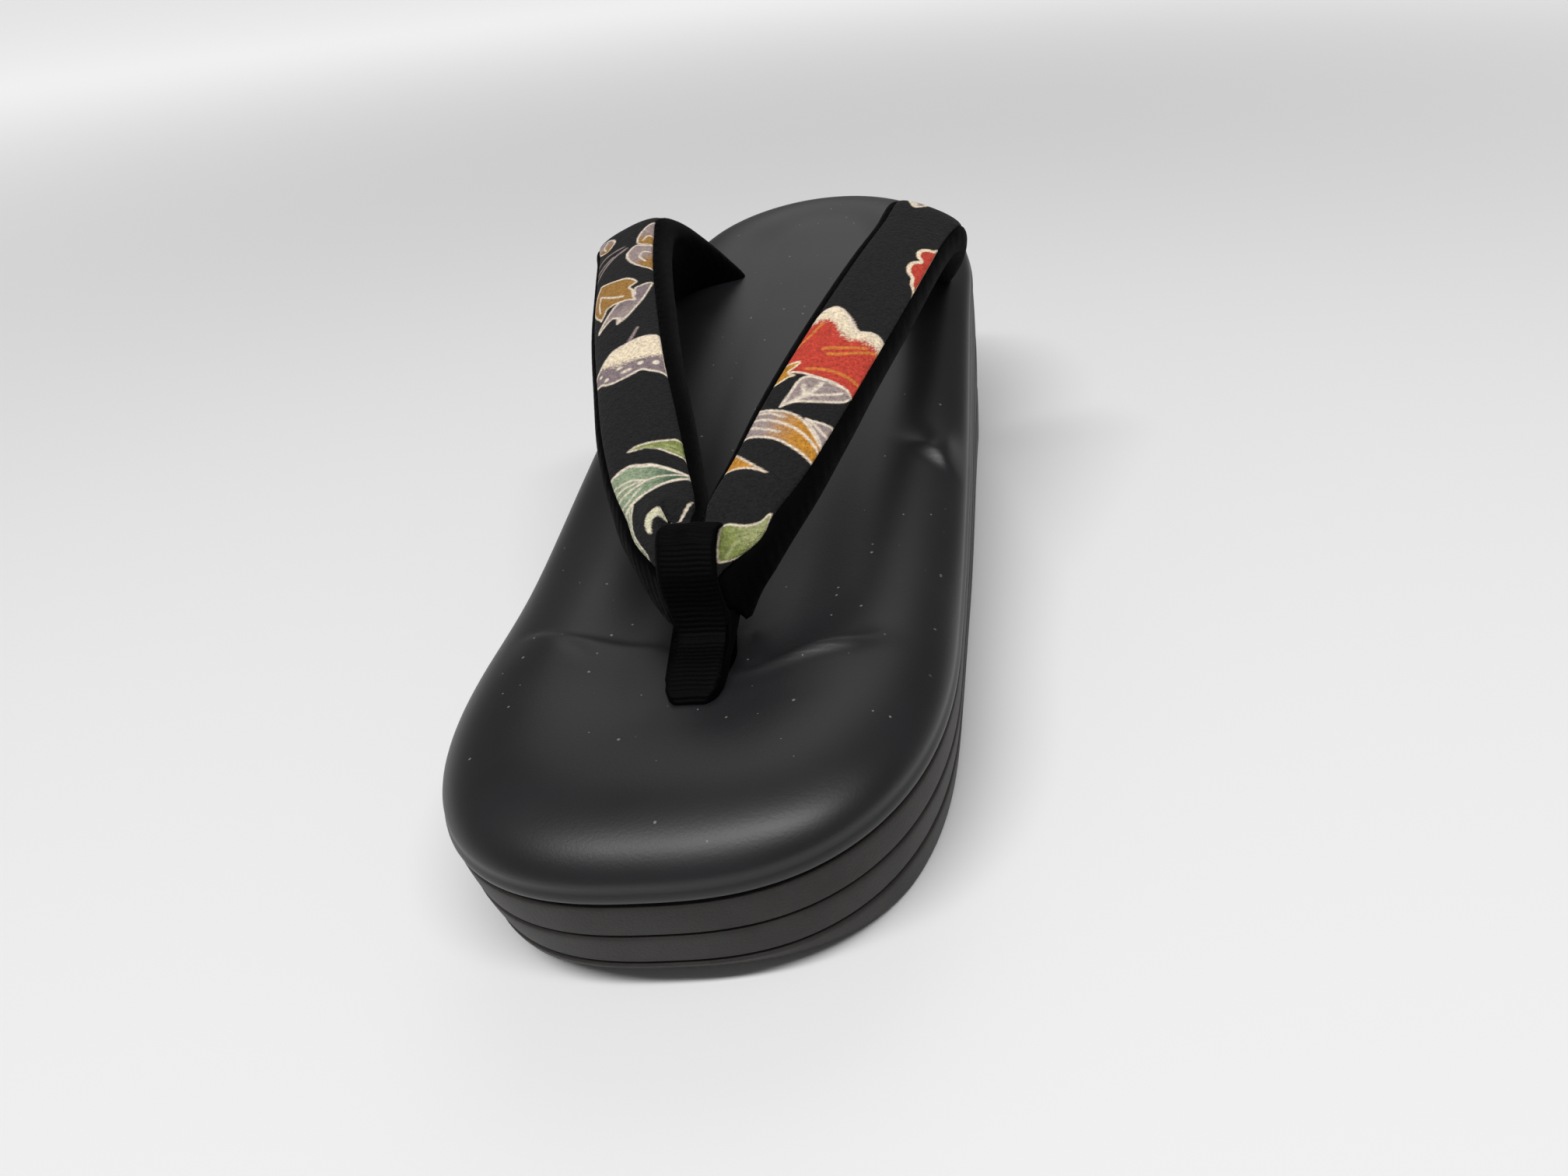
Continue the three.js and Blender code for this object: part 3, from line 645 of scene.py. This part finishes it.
LEFT_PRINT = {
    "crescent": dict(
        outline=((11.2, 6.8), (12.5, 7.1), (13.3, 8.2), (13.3, 9.4), (12.4, 10.5), (11, 10.9), (10.4, 10.4),
                 (11.2, 9.8), (11.8, 9.2), (11.9, 8.4), (11.7, 7.6)),
        fill=("lime",), edge=("pale", 0.2),
    ),
    "leaf_tip": dict(
        outline=((12.6, 1), (12.3, 2.6), (11.4, 4.4), (10.8, 5.6), (11, 4.2), (11.8, 2.2)),
        fill=("lime", "pale"), toward=(1, 0.3), edge=("pale", 0.25),
    ),
    "under_leaf": dict(
        outline=((18.6, 11.6), (16.5, 12.8), (14, 13.6), (10.5, 14.1), (8.6, 14.6), (8.6, 16.5), (19, 16.5)),
        fill=("soft_leaf",), edge=("pale", 0.35),
        veins=(((18, 13.1), (14.6, 14.5), (10.6, 15.1)), ((17.8, 14.4), (14.4, 15.5), (11.4, 16))),
        vein=("pale", 0.14),
    ),
    "veined_leaf": dict(
        outline=((18.6, -0.5), (18.8, 3.2), (18.9, 6.4), (18.7, 9.2), (18.4, 12), (18, 16.5), (26.5, 16.5),
                 (26.8, 14.8), (27, 12.8), (27.2, 10.4), (26.7, 9), (25.5, 7.6), (23.5, 5.6), (21.5, 3.2),
                 (20.3, 1.4), (20, -0.5)),
        fill=("deep_leaf", "soft_leaf"), toward=(0, 1), edge=("pale", 0.5),
        veins=(((19.4, 0), (20.2, 3), (21.2, 6), (21.9, 8), (21.6, 11), (21, 16.4)),
               ((21.9, 8), (23.6, 10.4), (24.4, 16.4)), ((20.9, 9.4), (19.8, 12), (19.4, 16.4)),
               ((22.4, 9), (22.8, 12.4), (22.6, 16.4))),
        vein=("pale", 0.18),
    ),
    "light_leaf": dict(
        outline=((22.4, -0.4), (24, 0.8), (25, 2.4), (26.3, 4.2), (28, 6), (29.5, 7.8), (30.3, 9.8),
                 (30.9, 8.4), (30.3, 6.4), (29.6, 4), (29.3, 2), (28.5, 0.6), (27.5, -0.4)),
        fill=("leaf",), edge=("pale", 0.28),
        veins=(((24.6, 0.4), (27, 3.6), (29.9, 8.2)), ((26.6, 1.4), (28.6, 4.6))), vein=("pale_leaf", 0.22),
    ),
    "dotted_petal": dict(
        outline=((46.9, 0.1), (48, 2), (49.3, 4.4), (50.4, 6), (50, 8), (49.9, 10), (50.5, 11.8), (51.3, 13),
                 (51.5, 14.6), (52.8, 15.9), (54.8, 15.2), (56.5, 13.2), (58.3, 11.6), (60, 9.6), (60.8, 7.2),
                 (61.1, 4.8), (60.9, 2.8), (60.3, 0.5), (57.5, 0.1), (50, 0.1)),
        fill=("mauve",), edge=("pale", 0.45),
        rind=("cream", 0.5, ((53.6, -0.5), (54, 4), (54.6, 8), (56.2, 12.4), (58, 16.5))),
        dots=((51.6, 2.6, 0.8), (52.7, 5.9, 0.6), (52, 8, 0.55), (53.7, 8.8, 0.5), (52.1, 11.6, 0.6),
              (54.1, 13.1, 0.5)),
    ),
    "stems": dict(
        veins=(((61.2, 7.2), (64.6, 5.6)), ((100, 7.4), (96, 10.8), (91, 15)),
               ((98.4, 9.6), (95.4, 13.2), (93.6, 16)), ((101.4, 8), (100.2, 12), (97.8, 15.8))),
        vein=("lilac", 0.3),
    ),
    "pointed_lilac": dict(
        outline=((68.4, 8.6), (69.8, 7.2), (72, 5.6), (74.5, 3.8), (77.5, 2.2), (80.5, 0.8), (81.4, 0.4),
                 (81.2, 2.4), (80.5, 4.4), (80.2, 5.4), (79, 5.8), (77.4, 5.8), (77, 7.4), (76.4, 8.4),
                 (74.5, 9.6), (72, 11.2), (69.3, 13), (68.2, 12.9), (70, 10.8), (71.2, 9.2), (70.2, 8.5)),
        fill=("lilac", "mauve"), toward=(1, 0.3), edge=("pale", 0.4),
    ),
    "ochre_bloom": dict(
        outline=((75, 5.4), (77, 5.7), (79.5, 5.8), (81, 6.4), (82.3, 4.8), (84.3, 5.8), (85.8, 7.4),
                 (86.5, 9.2), (87, 11.2), (87.3, 12.6), (86, 13.2), (84, 14.2), (81.5, 14.8), (78.5, 15.2),
                 (76.8, 14.8), (75, 13.8), (73.5, 12.6), (72.5, 12), (74.5, 10.8), (75.8, 10.4), (76.4, 8.8),
                 (76, 7.2)),
        fill=("dull_ochre",), edge=("pale", 0.4),
        veins=(((78.4, 7.8), (80.4, 10), (82.6, 12.4)), ((76.2, 12.4), (79.2, 12.8), (82.6, 12.4))),
    ),
    "round_bloom": dict(
        outline=((87.6, -0.4), (87.6, 2), (88.5, 3.6), (90, 5.2), (92, 6.4), (94.5, 7.2), (97, 7.3),
                 (99, 6.4), (100, 5.4), (99.5, 4), (98.8, 2.4), (99, 0.8), (99.5, -0.4)),
        fill=("dull_ochre", "lilac"), toward=(0.8, 0.6), edge=("pale", 0.4),
        veins=(((91, 2.6), (93.4, 4.2), (95.6, 3.4), (95.2, 1)),),
    ),
    "second_bloom": dict(
        outline=((99.5, -0.4), (99, 2), (99.5, 4), (100.8, 5.2), (103.5, 5.2), (106, 4.4), (108.5, 2.8),
                 (110, 1.2), (110.5, -0.4)),
        fill=("dull_ochre", "lilac"), toward=(1, 0.1), edge=("pale", 0.4),
        veins=(((101.6, 3.6), (103.6, 2.4), (103.4, 0.4)),),
    ),
    "outer_bloom": dict(
        outline=((103.4, 11.4), (105, 10), (106.8, 9.2), (108.6, 9.6), (110, 11), (110.4, 13), (109, 15),
                 (106.4, 15.2), (104.4, 13.8)),
        fill=("dull_ochre", "lilac"), toward=(1, 0.2), edge=("pale", 0.35),
        veins=(((105, 12), (107.2, 12.6), (108.8, 11.4)),),
    ),
    "rear_leaf": dict(
        outline=((124, 9), (127, 7), (131, 5.6), (135, 5.4), (139, 6.6), (142, 9), (138, 10.4), (134, 12.4),
                 (129, 12.8), (126, 11.4)),
        fill=("dull_ochre", "lilac"), toward=(1, 0.2), edge=("pale", 0.4),
        veins=(((125.5, 9.4), (131, 9), (140.5, 9)),),
    ),
}


def rounded_outline(points, closed):
    corners = np.array(points, float)
    if closed:
        before, after = np.roll(corners, 1, axis=0), np.roll(corners, -1, axis=0)
    else:
        before = np.vstack([2 * corners[0] - corners[1], corners[:-1]])
        after = np.vstack([corners[1:], 2 * corners[-1] - corners[-2]])
    slope = (after - before) * ROUNDNESS
    line = []
    for k in range(len(corners) if closed else len(corners) - 1):
        after_k = (k + 1) % len(corners)
        for part in np.linspace(0.0, 1.0, 6)[:-1]:
            gone = 3 * part**2 - 2 * part**3
            leaving = (part**3 - 2 * part**2 + part) * slope[k]
            arriving = (part**3 - part**2) * slope[after_k]
            line.append((1 - gone) * corners[k] + leaving + gone * corners[after_k] + arriving)
    if not closed:
        line.append(corners[-1])
    return np.array(line)


def reach_of(chart, line, closed):
    nearest = np.full(len(chart), 1e9)
    for k in range(len(line) if closed else len(line) - 1):
        a, b = line[k], line[(k + 1) % len(line)]
        run = b - a
        part = np.clip(((chart - a) @ run) / max(run @ run, 1e-9), 0.0, 1.0)
        nearest = np.minimum(nearest, np.linalg.norm(chart - a - part[:, None] * run, axis=1))
    return nearest


def within(chart, line):
    inside = np.zeros(len(chart), bool)
    for k in range(len(line)):
        a, b = line[k], line[(k + 1) % len(line)]
        crosses = (a[1] > chart[:, 1]) != (b[1] > chart[:, 1])
        rise = b[1] - a[1] if abs(b[1] - a[1]) > 1e-9 else 1e-9
        inside ^= crosses & (chart[:, 0] < (b[0] - a[0]) * (chart[:, 1] - a[1]) / rise + a[0])
    return inside


def crisp(depth):
    return np.clip((depth + 0.1) / 0.2, 0.0, 1.0)


def lay_ink(colour, ink, cover):
    return colour + (np.array(ink) - colour) * np.clip(cover, 0.0, 1.0)[:, None]


def print_motif(colour, chart, motif, rough):
    body = np.ones(len(chart), bool)
    if "outline" in motif:
        line = rounded_outline(motif["outline"], True)
        body = within(chart, line)
        depth = np.where(body, 1.0, -1.0) * reach_of(chart, line, True)
        cover = crisp(depth)
        toward = np.array(motif.get("toward", (1, 0)), float)
        spread = line @ toward
        share = (chart @ toward - spread.min()) / max(np.ptp(spread), 1e-6)
        blend = eased(share + 0.06 * rough, 0.28, 0.6)[:, None]
        first, last = np.array(INK[motif["fill"][0]]), np.array(INK[motif["fill"][-1]])
        inside = (first * (1 - blend) + last * blend) * (1.0 + 0.15 * rough)[:, None]
        colour = lay_ink(colour, inside, cover)
        if "rind" in motif:
            ink, soft, points = motif["rind"]
            course = rounded_outline(points, False)
            beyond = chart[:, 0] - np.interp(chart[:, 1], course[:, 1], course[:, 0])
            colour = lay_ink(colour, INK[ink], eased(beyond + soft * 1.4 * rough, -soft, soft) * cover)
        ink, width = motif["edge"]
        half = width * EDGE_SPREAD / 2
        colour = lay_ink(colour, INK[ink], crisp(half - np.abs(depth - half)))
    ink, width = motif.get("vein", ("pale", 0.28))
    for vein in motif.get("veins", ()):
        away = reach_of(chart, rounded_outline(vein, False), False)
        colour = lay_ink(colour, INK[ink], crisp(width - away) * VEIN_COVER * body)
    for along, across, radius in motif.get("dots", ()):
        away = np.hypot(chart[:, 0] - along, (chart[:, 1] - across) * 0.8)
        colour = lay_ink(colour, INK["pale"], crisp(radius * DOT_SPREAD - away))
    return colour


def printed_face(side, motifs, name, node):
    fine = np.linspace(0.0, 1.0, 241)
    middle = strap_stations(fine)[0]
    run = np.concatenate([[0.0], np.cumsum(np.linalg.norm(np.diff(middle, axis=0), axis=1))])
    bm = bmesh.new()
    along_layer = bm.verts.layers.float.new("along")
    across_layer = bm.verts.layers.float.new("across")
    bmesh.ops.create_grid(bm, x_segments=CELLS_ALONG, y_segments=CELLS_ACROSS, size=0.5)
    flat = np.array([vert.co for vert in bm.verts])
    along, across = (flat[:, 0] + 0.5) * run[-1], (flat[:, 1] + 0.5) * FACE_WIDTH
    share = across / FACE_WIDTH
    angle = math.pi - SEAM_ANGLE - (math.pi - 2 * SEAM_ANGLE) * share
    sunk = TURNED_IN * np.exp(-np.minimum(share, 1 - share) * FACE_WIDTH / TURNED_IN)
    stations = strap_stations(np.interp(along, run, fine))
    points = drawn_into_loop(pad_points(stations, angle, -sunk) * (side, 1.0, 1.0))
    for vert, point, from_fork, from_seam in zip(bm.verts, points, along, across):
        vert[along_layer] = from_fork
        vert[across_layer] = from_seam
        vert.co = point
    bmesh.ops.bisect_plane(
        bm, geom=bm.verts[:] + bm.edges[:] + bm.faces[:], dist=1e-5,
        plane_co=(0.15 * side, 0, 0), plane_no=(-side, 0, 0), clear_outer=True,
    )
    bmesh.ops.recalc_face_normals(bm, faces=bm.faces)
    bmesh.ops.solidify(bm, geom=bm.faces[:], thickness=FACE_THICKNESS)
    face = piece_from(bm, name, printed_crepe, "crepe", node)
    count = len(face.data.vertices)
    chart = np.empty((count, 2))
    for column, layer in enumerate(("along", "across")):
        values = np.empty(count, np.float32)
        face.data.attributes[layer].data.foreach_get("value", values)
        chart[:, column] = values
    rough = np.random.default_rng(7).normal(0.0, 0.5, count)
    colour = np.tile(np.array(INK["ground"]), (count, 1)) * (1.0 + 0.25 * rough)[:, None]
    for motif in motifs.values():
        colour = print_motif(colour, chart, motif, rough)
    inked = np.column_stack([np.clip(colour, 0.002, 1.0), np.ones(count)])
    ink = face.data.color_attributes.new("print", "FLOAT_COLOR", "POINT")
    ink.data.foreach_set("color", inked.astype(np.float32).ravel())


printed_crepe, tree, shader, place = new_finish("printed_crepe")
ink = add_node(tree, "VertexColor", {"layer_name": "print"})
twist = add_node(tree, "TexNoise", Vector=place, Scale=1500.0, Detail=2.0, Roughness=0.75)
wrinkle = add_node(tree, "TexNoise", Vector=place, Scale=400.0, Detail=4.0, Roughness=0.65, Distortion=0.8)
threads = add_node(
    tree, "MapRange", Value=twist.outputs["Fac"], From_Min=0.3, From_Max=0.7, To_Min=0.68, To_Max=1.32
)
worn = add_node(
    tree, "Mix", {"data_type": "RGBA", "blend_type": "MULTIPLY"},
    _0=1.0, _6=ink.outputs["Color"], _7=threads.outputs["Result"],
)
relief = add_node(tree, "Math", {"operation": "ADD"}, _0=twist.outputs["Fac"], _1=wrinkle.outputs["Fac"])
crinkle = add_node(tree, "Bump", Strength=0.9, Distance=0.0006, Height=relief.outputs[0])
fill_sockets(
    tree, shader, Base_Color=worn.outputs[2], Normal=crinkle.outputs["Normal"],
    Roughness=0.8, Specular_IOR_Level=0.2, Sheen_Weight=0.04, Sheen_Roughness=0.4,
)
printed_face(1, RIGHT_PRINT, "strap_print_right", "strap_face_right")
printed_face(-1, LEFT_PRINT, "strap_print_left", "strap_face_left")

# Toe loop: a black ribbed tape folded over the strap's fork, its two runs going down into the footbed.
# The ribs run across the tape, a little under a millimetre apart.
TAPE_RUN = (
    (-88.1, 22), (-88.1, 28), (-86.6, 30.8), (-82, 32.5), (-77.4, 33.2), (-75.4, 34.6), (-73.8, 38.5),
    (-73.2, 43.4), (-71.8, 46), (-69.8, 48.2), (-67.4, 49.2), (-64.4, 48.4), (-61.6, 46.4), (-60.6, 44),
    (-60.8, 37.4), (-64.8, 33.4), (-72.5, 31), (-80.4, 29.2), (-80.4, 22),
)
TAPE_WINDOW = (
    (-72, 37), (-71.9, 43), (-70.7, 45.4), (-69.1, 47.2), (-67.2, 48.1), (-64.8, 47.4), (-62.6, 45.8),
    (-61.8, 43.8), (-61.9, 37.8), (-64.4, 35.4), (-69.6, 35.4),
)
TAPE_HALF_WIDTH = 4.75
TAPE_FRONT = -88.2
CORNER_RADIUS = 4.4
RIB_PITCH = 0.85
RIB_HEIGHT = 0.13
WINDOW_STEP = 0.25
LEAN = 0.85


def even_loop(points, step):
    line = rounded_outline(points, True)
    line = np.vstack([line, line[:1]])
    run = np.concatenate([[0.0], np.cumsum(np.linalg.norm(np.diff(line, axis=0), axis=1))])
    even = np.linspace(0.0, run[-1], int(round(run[-1] / step)), endpoint=False)
    spots = np.column_stack([np.interp(even, run, line[:, k]) for k in (0, 1)])
    ahead = np.roll(spots, -1, axis=0) - np.roll(spots, 1, axis=0)
    ahead /= np.linalg.norm(ahead, axis=1)[:, None]
    out = np.column_stack([-ahead[:, 1], ahead[:, 0]])
    return even, spots, out * np.sign(np.sum(out * (spots - spots.mean(axis=0))))


def tape_band(points, step, ribbed):
    run, spots, out = even_loop(points, step)

    def row(share):
        sunk = 0.45 * abs(share) ** 10
        lift = np.full(len(run), sunk)
        if ribbed:
            wander = 0.1 * share + 0.07 * np.sin(5.0 * share + 0.45 * run)
            rib = RIB_HEIGHT * np.abs(np.sin(math.pi * (run / RIB_PITCH + wander)))
            crumple = 0.28 * math.sin(5.2 * share + 0.8) * eased(spots[:, 1], 47.5, 49.5)
            lift = rib * (1 - 0.6 * abs(share) ** 12) - sunk + crumple
        y, z = (spots + out * lift[:, None]).T
        x = TAPE_HALF_WIDTH * share
        corner = max(abs(x) - (TAPE_HALF_WIDTH - CORNER_RADIUS), 0.0)
        limit = TAPE_FRONT + CORNER_RADIUS - math.sqrt(max(CORNER_RADIUS**2 - corner**2, 0.0))
        low = eased(-z, -42.0, -34.0)
        return np.column_stack([x * (1.0 - 0.07 * low) + LEAN * low, np.maximum(y, limit), z])

    band = bmesh.new()
    shares = np.linspace(-1.0, 1.0, 19)
    edges = start_ring(band, row(shares[0]))
    for share in shares[1:]:
        edges = grow_ring(band, edges, row(share))
    return band


bm = tape_band(TAPE_RUN, RIB_PITCH / 5, True)
window = tape_band(TAPE_WINDOW, WINDOW_STEP, False)
window_mesh = bpy.data.meshes.new("tape_window")
window.to_mesh(window_mesh)
window.free()
bm.from_mesh(window_mesh)
bpy.data.meshes.remove(window_mesh)
for side in (-1, 1):
    rims = [edge for edge in bm.edges if edge.is_boundary and edge.verts[0].co.x * side > 0.0]
    bmesh.ops.bridge_loops(bm, edges=rims)

ribbed_tape, tree, shader, place = new_finish("ribbed_tape")
weave = add_node(tree, "TexNoise", Vector=place, Scale=2400.0, Detail=2.0, Roughness=0.7)
shade = two_shades(tree, weave.outputs["Fac"], 0.3, (0.0006, 0.0005, 0.0008), 0.75, (0.0019, 0.0017, 0.0022))
fibres = add_node(tree, "Bump", Strength=0.3, Distance=0.00015, Height=weave.outputs["Fac"])
fill_sockets(
    tree, shader, Base_Color=shade, Normal=fibres.outputs["Normal"],
    Roughness=0.6, Specular_IOR_Level=0.04, Sheen_Weight=0.006, Sheen_Roughness=0.4,
)
piece_from(bm, "toe_loop_tape", ribbed_tape, "grosgrain", "toe_loop")

# Studio: a pale floor that glows a little far away, a white room with a bright wall behind the heel, and
# one long ceiling lamp over the toe. None of it belongs to the sandal. Sizes here are in metres.
bm = bmesh.new()
bmesh.ops.create_grid(bm, x_segments=4, y_segments=4, size=4.0)
floor_mesh = bpy.data.meshes.new("studio_floor")
bm.to_mesh(floor_mesh)
bm.free()
studio_floor = bpy.data.objects.new("studio_floor", floor_mesh)
bpy.context.scene.collection.objects.link(studio_floor)
floor_paint, tree, shader, place = new_finish("floor_paint")
from_middle = add_node(tree, "VectorMath", {"operation": "LENGTH"}, _0=place)
far_glow = add_node(
    tree, "MapRange", {"interpolation_type": "SMOOTHSTEP"},
    Value=from_middle.outputs["Value"], From_Min=0.25, From_Max=1.6, To_Min=0.0, To_Max=0.58,
)
fill_sockets(
    tree, shader, Base_Color=(0.86, 0.86, 0.86, 1.0), Roughness=0.9,
    Emission_Color=(1.0, 1.0, 1.0, 1.0), Emission_Strength=far_glow.outputs["Result"],
)
floor_mesh.materials.append(floor_paint)

room = bpy.data.worlds.new("white_room")
room.use_nodes = True
tree = room.node_tree
way = add_node(tree, "TexCoord").outputs["Generated"]
toward_wall = add_node(tree, "VectorMath", {"operation": "DOT_PRODUCT"}, _0=way, _1=(-0.1, 0.75, 0.65))
wall = add_node(
    tree, "MapRange", {"interpolation_type": "SMOOTHSTEP"},
    Value=toward_wall.outputs["Value"], From_Min=0.9, From_Max=0.99, To_Min=0.15, To_Max=1.05,
)
# The camera sees the room as an even pale grey, while the sandal is lit and mirrored by its wall.
seen = add_node(tree, "LightPath").outputs["Is Camera Ray"]
shown = add_node(tree, "Mix", {"data_type": "FLOAT"}, _0=seen, _2=wall.outputs["Result"], _3=0.66)
fill_sockets(tree, tree.nodes["Background"], Color=(1.0, 1.0, 1.0, 1.0), Strength=shown.outputs[0])
bpy.context.scene.world = room

LAMP_AT = Vector((0.04, -0.5, 1.25))
LAMP_TOWARD = Vector((0.0, -0.05, 0.03))
bar = bpy.data.lights.new("ceiling_bar", "AREA")
bar.shape = "RECTANGLE"
bar.size = 1.75
bar.size_y = 0.16
bar.energy = 18.0
lamp = bpy.data.objects.new("ceiling_bar", bar)
lamp.location = LAMP_AT
lamp.rotation_mode = "QUATERNION"
lamp.rotation_quaternion = (LAMP_TOWARD - LAMP_AT).to_track_quat("-Z", "Y")
lamp.visible_camera = False
bpy.context.scene.collection.objects.link(lamp)
bpy.context.scene.view_settings.view_transform = "Standard"
